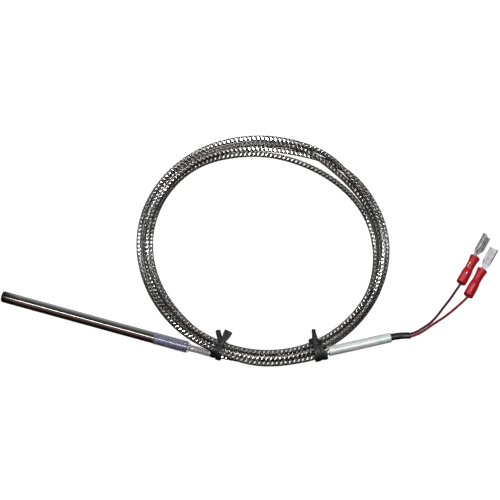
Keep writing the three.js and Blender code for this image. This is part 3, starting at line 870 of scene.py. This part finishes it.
def marker_sleeve():
    """White tubing that is loose on the lead."""
    length, outer, inner = MARKER_LENGTH, MARKER_R, MARKER_BORE_R
    rim = 0.07
    outline = [(0, inner), (0, outer - rim), (rim, outer)]
    outline += stations([(0.5, outer), (length - 0.5, outer)], 0.8)
    outline += [(length - rim, outer), (length, outer - rim), (length, inner)]
    outline += stations([(length - 0.5, inner), (0.5, inner)], 3)

    def press(x, r, t):
        """Slightly oval, as soft tubing lies on what it rests on."""
        return 0.02 * np.cos(2 * t) * np.sin(x / 9) - 0.012 * np.cos(2 * t + x / 5)

    obj = turned("marker", outline, marker_plastic(), TAIL_AXIS, 64, press)
    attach(obj, "marker")
    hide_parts("marker_sleeve")


def boot():
    """Shrunk tubing over the lead's end: round on the lead, slimmer and flatter round the two wires."""
    start, end, outer, inner = BOOT_FROM, BOOT_TO, BOOT_R, BOOT_BORE_R
    rim = 0.08
    slim_from = 28.4
    skin = [(start + rim, outer), (slim_from, outer)]
    skin += [(slim_from + 1, outer - 0.06), (end - 0.1, outer - rim)]
    outline = [(start, inner), (start, outer - rim)]
    outline += stations(skin, 0.4)
    outline += [(end, outer - 2 * rim)]
    outline += stations([(end, inner), (start + 0.5, inner)], 0.8)

    def flatten(x, r, t):
        grip = 1 / (1 + np.exp(-(x - slim_from - 0.6) / 0.5))
        return np.where(r > inner + 0.05, grip * (0.07 * np.cos(2 * t) - 0.03), 0)

    line = smooth_curve(BOOT_ROUTE, 0.2)

    def bend(x):
        return np.interp(x, line[:, 0], line[:, 1])

    obj = turned("boot", outline, boot_rubber(), TAIL_AXIS, 56, flatten, bend=bend)
    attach(obj, "thermocouple")
    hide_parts("shrink_boot")


def wire(pole):
    """One insulated wire from inside the boot to its receptacle's barrel."""
    spec = WIRES[pole]
    offset = spec["side"] * WIRE_HALF_PITCH
    route = [on_tail(x, y + offset) for x, y, _ in [(TAIL_LEAD_END + 0.1, 0, 0), *BOOT_BEND]]
    route += spec["route"]
    route += [on_terminal(spec, x) for x in (-0.8, 0.5, WIRE_INSERT)]
    path = smooth_curve(route, 0.35)
    around = 20
    vertices = tube_vertices(path, WIRE_R, around)
    cover = WIRE_COVERS[pole]()
    obj = mesh_object(f"wire_{pole}_cover", vertices, ring_faces(len(path), around), [cover])
    obj.data.set_sharp_from_angle(angle=math.radians(40))
    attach(obj, "thermocouple")
    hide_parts(f"wire_{pole}")


def on_terminal(spec, x):
    """A place on a receptacle's axis, x from the wire end of its sleeve."""
    a = math.radians(spec["heading"])
    return (spec["place"][0] + x * math.cos(a), spec["place"][1] + x * math.sin(a), TERMINAL_Z)


# ---- receptacles -----------------------------------------------------------------------------------


def channel_half_width(x):
    """Half the channel's width: the neck's, then a rounded shoulder, then the receptacle's own."""
    if x <= RECEPTACLE_FROM:
        return NECK_HALF
    if x >= RECEPTACLE_FROM + SHOULDER:
        return RECEPTACLE_HALF
    s = 1 - (x - RECEPTACLE_FROM) / SHOULDER
    return NECK_HALF + (RECEPTACLE_HALF - NECK_HALF) * math.sqrt(1 - s * s)


def channel_wall(x):
    """The walls' height, from the neck's to the receptacle's own."""
    s = min(max((x - RECEPTACLE_FROM - 0.2) / (SHOULDER + 0.3), 0), 1)
    return NECK_WALL + (RECEPTACLE_HEIGHT - NECK_WALL) * s * s * (3 - 2 * s)


def channel_lip(x):
    """How far the walls' edges turn in."""
    s = min(max((x - RECEPTACLE_FROM - SHOULDER) / 0.8, 0), 1)
    return RECEPTACLE_LIP * s


def cut_back(x, z):
    """How far the walls' open ends lean back from the floor's, so that a tab goes in easily."""
    lean, reach = 0.75, 2.5
    near_end = min(max((x - RECEPTACLE_TO + reach) / reach, 0), 1)
    return lean * near_end * max(z - SHEET, 0) / (RECEPTACLE_HEIGHT - SHEET)


def channel_profile(x):
    """The middle line of the sheet across the channel at one station, from edge to edge."""
    half = channel_half_width(x) - SHEET / 2
    wall = channel_wall(x) - SHEET / 2
    lip = channel_lip(x)
    floor = SHEET / 2
    corner, roll = 0.3, 0.22
    right = [(0, floor), (half * 0.35, floor), (half - corner, floor)]
    right += arc((half - corner, floor + corner), corner, -90, 0, 4)[1:]
    right += [(half, floor + (wall - floor) * 0.6)]
    bend = roll * min(1, lip / RECEPTACLE_LIP)
    right += arc((half - bend, wall - bend), bend, 0, 90, 4) if bend > 0.01 else [(half, wall)] * 5
    right += [(half - bend - lip * 0.5, wall - 0.02), (half - bend - lip, wall - 0.1 * bend / roll)]
    left = [(-y, z) for y, z in right[:0:-1]]
    return left + right


def receptacle(pole):
    """A stamped channel that holds a flat tab, its neck, and the crimped barrel in the sleeve."""
    spec = WIRES[pole]
    xs = [NECK_FROM + 0.6 * k for k in range(9)]
    xs += [RECEPTACLE_FROM + SHOULDER * (1 - math.cos(k / 7 * math.pi / 2)) for k in range(8)]
    first = RECEPTACLE_FROM + SHOULDER
    xs += [first + (RECEPTACLE_TO - first) * k / 10 for k in range(1, 11)]
    xs = sorted(set(round(x, 4) for x in xs))
    rows = [channel_profile(x) for x in xs]
    across = len(rows[0])
    base = -RECEPTACLE_HEIGHT / 2
    vertices = [(x - cut_back(x, z), y, base + z) for x, row in zip(xs, rows) for y, z in row]
    faces = []
    for i in range(len(xs) - 1):
        for k in range(across - 1):
            a = i * across + k
            faces.append((a, a + across, a + across + 1, a + 1))
    rotation, offset = basis((*spec["place"], TERMINAL_Z), spec["heading"], spec["roll"])
    placed = np.array(vertices) @ rotation.T + offset
    obj = mesh_object(f"push_on_{pole}", placed, faces, [tin_plate()])
    solid = obj.modifiers.new("sheet", "SOLIDIFY")
    solid.thickness = SHEET * MM
    solid.offset = 0
    bevel = obj.modifiers.new("edges", "BEVEL")
    bevel.width = 0.04 * MM
    bevel.segments = 2
    bevel.limit_method = "ANGLE"
    barrel = turned(
        f"barrel_{pole}",
        [(BARREL_FROM, 0.45), (BARREL_FROM, 0.85), (BARREL_TO, 0.85), (BARREL_TO, 0.45)],
        tin_plate(),
        (rotation, offset),
        32,
    )
    for piece in (obj, barrel):
        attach(piece, "thermocouple")
    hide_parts(f"receptacle_{pole}")


def vinyl_sleeve(pole):
    """Insulating sleeve with a flared mouth, a waist and the dimples of the crimping tool."""
    spec = WIRES[pole]
    outer = [(0.0, 1.95), (0.15, 2.05), (2.8, 2.06), (5.0, 2.02), (5.9, 1.93), (6.7, 1.74)]
    outer += [(7.6, 1.66), (8.6, 1.66), (9.8, 1.74), (11.0, 1.9), (12.3, 2.13), (SLEEVE_LENGTH, 2.12)]
    inner = [(SLEEVE_LENGTH, 1.8), (NECK_FROM - 0.1, 1.5), (NECK_FROM - 0.4, 1.2), (1.2, 1.2)]
    inner += [(0.0, 1.5), (0.0, 1.95)]
    dent_angle = math.radians(spec["dent"])

    def press(x, r, t):
        skin = r > 1.52
        turn = np.cos(t - dent_angle)
        dimple = np.exp(-(((x - 6.6) / 0.8) ** 2)) * np.clip(turn, 0, 1) ** 6
        back = np.exp(-(((x - 7.6) / 1.0) ** 2)) * np.clip(-turn, 0, 1) ** 4
        flat = np.exp(-(((x - 8.2) / 2.0) ** 2)) * np.cos(2 * (t - dent_angle))
        return np.where(skin, -0.32 * dimple - 0.12 * back - 0.07 * flat, 0)

    outline = stations(outer, 0.22) + stations(inner, 1.0)[:-1]
    where = basis((*spec["place"], TERMINAL_Z), spec["heading"], spec["roll"])
    obj = turned(f"sleeve_{pole}", outline, red_vinyl(), where, 72, press, angle=50)
    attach(obj, "thermocouple")
    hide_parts(f"insulating_sleeve_{pole}")


# ---- ties ------------------------------------------------------------------------------------------


def ribbon(path, width, thickness, facing):
    """A flat strip along a path: a slightly crowned section with a wire rib down its middle.

    `width` and `facing` are spread evenly along it."""
    path = smooth_curve(path, 0.35)
    tangent = np.gradient(path, axis=0)
    tangent /= np.linalg.norm(tangent, axis=1)[:, None]
    keys = np.array(facing, float)
    at = np.linspace(0, 1, len(keys))
    s = np.linspace(0, 1, len(path))
    face = np.column_stack([np.interp(s, at, keys[:, k]) for k in range(3)])
    face -= tangent * (face * tangent).sum(axis=1)[:, None]
    face /= np.linalg.norm(face, axis=1)[:, None]
    side = np.cross(tangent, face)
    width = np.interp(s, np.linspace(0, 1, len(width)), width)
    section = [(-1, 0), (-0.85, 0.5), (-0.3, 0.42), (0, 0.85), (0.3, 0.42), (0.85, 0.5)]
    section += [(1, 0), (0.85, -0.5), (0.3, -0.42), (0, -0.8), (-0.3, -0.42), (-0.85, -0.5)]
    rings = [path + side * (u * width / 2)[:, None] + face * (v * thickness) for u, v in section]
    vertices = np.stack(rings, axis=1).reshape(-1, 3)
    return vertices, [tuple(reversed(f)) for f in ring_faces(len(path), len(section))]


def tie(name, node, strips):
    """A twist tie made of several strips, as one piece."""
    vertices, faces = [], []
    for strip in strips:
        v, f = ribbon(**strip)
        start = sum(len(part) for part in vertices)
        vertices.append(v)
        faces += [tuple(start + k for k in face) for face in f]
    obj = mesh_object(name, np.vstack(vertices), faces, [tie_plastic()])
    obj.data.set_sharp_from_angle(angle=math.radians(50))
    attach(obj, "thermocouple")
    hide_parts(node)


def first_tie():
    """Two turns round the coil and the probe's end of the lead, two narrow tails and a wide one."""
    out, up = (0.1, -1, 0.3), (0, 0.1, 1)
    loop_a = [
        (46.7, 3.9, 5.5), (45.6, 2.2, 6.0), (44.6, 0.4, 5.9), (44.3, -0.9, 4.0), (44.6, -1.1, 2.0),
        (45.0, -0.2, 0.35), (45.6, 3.0, 0.25), (46.4, 5.4, 0.8), (46.9, 6.2, 2.8), (47.0, 5.6, 4.6),
        (46.9, 4.4, 5.4),
    ]
    loop_b = [
        (47.1, 4.0, 5.6), (46.9, 2.4, 5.9), (46.6, 0.6, 5.8), (46.5, -1.0, 4.4), (46.6, -1.5, 2.2),
        (46.7, -0.8, 0.4), (46.9, 2.6, 0.25), (47.4, 5.2, 0.8), (47.6, 6.1, 2.8), (47.4, 5.4, 4.6),
        (47.0, 4.3, 5.6),
    ]
    tail_a = [(47.4, 2.9, 5.7), (46.6, 4.4, 6.2), (45.4, 6.6, 6.3), (44.5, 8.2, 6.2), (43.9, 9.3, 6.0)]
    tail_b = [(46.6, 2.4, 5.5), (45.6, 4.2, 6.0), (44.5, 6.4, 6.0), (43.6, 8.0, 5.7), (43.2, 9.2, 5.5)]
    blade = [(46.2, 3.0, 6.1), (46.9, 4.6, 6.6), (47.4, 6.6, 6.6), (47.7, 8.4, 6.5), (47.9, 9.8, 6.3)]
    around = [up, up, out, out, (0, -0.6, -1), (0, 0, -1), (0, 0.8, -0.6), (0, 1, 0), (0, 0.8, 0.6)]
    tie(
        "first_tie",
        "twist_tie_1",
        [
            dict(path=loop_a, width=[1.5, 1.9, 1.9, 1.9, 1.5], thickness=0.2, facing=around),
            dict(path=loop_b, width=[1.5, 1.9, 1.9, 1.9, 1.5], thickness=0.2, facing=around),
            dict(path=tail_a, width=[0.9, 1.3, 1.4, 1.4], thickness=0.18, facing=[(0.5, 0, 1)] * 2),
            dict(path=tail_b, width=[0.9, 1.1, 1.2, 1.2], thickness=0.18, facing=[(-0.4, 0, 1)] * 2),
            dict(path=blade, width=[1.0, 1.7, 2.6, 3.3, 3.3], thickness=0.22, facing=[(0.1, 0, 1)] * 2),
        ],
    )


def second_tie():
    """Three turns round the coil and the tail of the lead, a knot and two tails."""
    out, up = (0.5, -0.85, 0.3), (0, 0.1, 1)
    around = [up, up, out, out, (0.3, -0.5, -1), (0, 0, -1)]
    around += [(-0.4, 0.7, -0.6), (-0.5, 0.8, 0), (-0.4, 0.7, 0.6)]
    loop_a = [
        (81.4, 15.6, 5.6), (82.2, 13.8, 6.0), (83.6, 11.4, 5.7), (84.8, 9.6, 4.2), (85.1, 9.2, 2.2),
        (84.6, 9.9, 0.5), (82.6, 12.8, 0.25), (80.4, 15.8, 0.6), (79.6, 17.1, 2.4), (80.0, 16.8, 4.4),
        (81.0, 16.0, 5.6),
    ]
    loop_b = [
        (82.6, 15.8, 5.6), (84.4, 14.2, 6.0), (86.2, 12.2, 5.4), (87.6, 10.9, 3.8), (87.5, 10.7, 2.0),
        (86.4, 11.4, 0.5), (84.2, 13.9, 0.25), (81.9, 16.7, 0.6), (80.8, 17.9, 2.4), (81.2, 17.4, 4.4),
        (82.1, 16.4, 5.5),
    ]
    loop_c = [
        (82.0, 15.4, 5.9), (82.9, 13.9, 6.3), (84.4, 12.0, 6.0), (85.9, 10.3, 4.4), (86.1, 10.0, 2.2),
        (85.4, 10.8, 0.6), (83.3, 13.4, 0.3), (81.1, 16.4, 0.7), (80.2, 17.5, 2.6), (80.5, 17.0, 4.6),
        (81.6, 15.9, 5.8),
    ]
    knot = [(80.0, 14.5, 5.6), (81.4, 15.0, 6.4), (82.8, 15.4, 6.6), (84.0, 15.9, 6.0)]
    tail_a = [(82.6, 14.4, 6.0), (81.9, 16.0, 6.6), (81.0, 17.8, 6.6), (80.3, 19.2, 6.4), (79.9, 20.2, 6.2)]
    tail_b = [(81.0, 14.4, 5.8), (81.0, 15.9, 6.4), (80.4, 17.6, 6.3), (79.8, 19.0, 6.1), (79.4, 20.1, 5.9)]
    tie(
        "second_tie",
        "twist_tie_2",
        [
            dict(path=loop_a, width=[1.6, 2.0, 2.0, 2.0, 1.6], thickness=0.2, facing=around),
            dict(path=loop_b, width=[1.4, 1.8, 1.8, 1.8, 1.4], thickness=0.2, facing=around),
            dict(path=loop_c, width=[1.6, 2.2, 2.2, 2.0, 1.6], thickness=0.2, facing=around),
            dict(path=knot, width=[1.6, 2.6, 2.6, 1.6], thickness=0.35, facing=[up] * 2),
            dict(path=tail_a, width=[2.2, 1.9, 1.4, 1.3], thickness=0.2, facing=[(0.3, 0, 1)] * 2),
            dict(path=tail_b, width=[1.8, 1.4, 1.0, 0.9], thickness=0.2, facing=[(-0.5, 0, 1)] * 2),
        ],
    )


# ---- stage -----------------------------------------------------------------------------------------


def area_light(name, toward, size, radiance, colour=(1, 1, 1)):
    """A rectangular light that shines on the object from a direction, its strength as a radiance."""
    data = bpy.data.lights.new(name, "AREA")
    data.shape = "RECTANGLE"
    data.size, data.size_y = size
    data.energy = radiance * math.pi * size[0] * size[1]
    data.color = colour
    obj = bpy.data.objects.new(name, data)
    toward = np.array(toward) / np.linalg.norm(toward)
    obj.location = np.array(CAMERA_AIM) * MM + LAMP_DISTANCE * toward
    obj.rotation_euler = Vector(-toward).to_track_quat("-Z", "Y").to_euler()
    bpy.context.scene.collection.objects.link(obj)
    return obj


def stage():
    """A plain white floor that is seen by the camera but isn't mirrored in the metal."""
    data = bpy.data.meshes.new("floor")
    corners = [(a * FLOOR_HALF, b * FLOOR_HALF, 0) for a, b in ((-1, -1), (1, -1), (1, 1), (-1, 1))]
    data.from_pydata(corners, [], [(0, 1, 2, 3)])
    n = Nodes("floor")
    n.set(Base_Color=(0.2, 0.2, 0.2, 1), Roughness=1.0, Specular_IOR_Level=0.0)
    n.set(Emission_Color=(1, 1, 1, 1), Emission_Strength=1.0)
    data.materials.append(n.material)
    floor = bpy.data.objects.new("floor", data)
    floor.location = FLOOR_CENTRE
    bpy.context.scene.collection.objects.link(floor)
    floor.visible_glossy = False
    floor.visible_diffuse = False


def world():
    """A dim room: its colour changes from the near floor over the top to the far floor."""
    w = bpy.data.worlds.new("studio")
    bpy.context.scene.world = w
    w.use_nodes = True
    tree = w.node_tree
    direction = tree.nodes.new("ShaderNodeTexCoord").outputs["Generated"]
    along = tree.nodes.new("ShaderNodeVectorMath")
    along.operation = "DOT_PRODUCT"
    tree.links.new(direction, along.inputs[0])
    along.inputs[1].default_value = (-CAMERA_FORWARD[0], -CAMERA_FORWARD[1], 0)
    height = tree.nodes.new("ShaderNodeSeparateXYZ")
    tree.links.new(direction, height.inputs[0])
    angle = tree.nodes.new("ShaderNodeMath")
    angle.operation = "ARCTAN2"
    tree.links.new(height.outputs["Z"], angle.inputs[0])
    tree.links.new(along.outputs["Value"], angle.inputs[1])
    share = tree.nodes.new("ShaderNodeMapRange")
    share.inputs["From Min"].default_value = -math.pi
    share.inputs["From Max"].default_value = math.pi
    tree.links.new(angle.outputs[0], share.inputs["Value"])
    ramp = tree.nodes.new("ShaderNodeValToRGB")
    tree.links.new(share.outputs["Result"], ramp.inputs["Fac"])
    elements = ramp.color_ramp.elements
    while len(elements) < len(ROOM):
        elements.new(0.5)
    for element, (degrees, colour) in zip(elements, ROOM):
        element.position = (degrees + 180) / 360
        element.color = (*colour, 1)
    tree.links.new(ramp.outputs["Color"], tree.nodes["Background"].inputs["Color"])


def lights():
    """Small bright lamps that the braid glints in, a weak strip that draws the sheath's bright line,
    and a broad soft lamp that only lightens dull surfaces."""
    key = area_light("key", (0.13, -0.37, 0.92), SMALL_LAMP, 900)
    key.visible_diffuse = False
    for side, x in (("left", -0.42), ("right", 0.28)):
        back = area_light(f"back_{side}", (x, 0.39, 0.88), SMALL_LAMP, 200)
        back.visible_diffuse = False
    area_light("strip", (-0.116, -0.40, 0.91), (0.36, 0.12), 7)
    fill = area_light("fill", (-0.10, -0.15, 0.98), (1.3, 1.3), 3.2, (0.97, 1.0, 1.0))
    fill.visible_glossy = False


def main():
    bpy.context.scene.view_settings.view_transform = "Standard"
    for obj in list(bpy.data.objects):
        bpy.data.objects.remove(obj)
    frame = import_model()
    camera()
    sheath()
    tip()
    strain_relief()
    braided_lead(lead_route())
    first_tie()
    second_tie()
    marker_sleeve()
    boot()
    for pole in WIRES:
        receptacle(pole)
        vinyl_sleeve(pole)
        wire(pole)
    inner_finishes(frame["nodes"])
    stage()
    world()
    lights()


main()
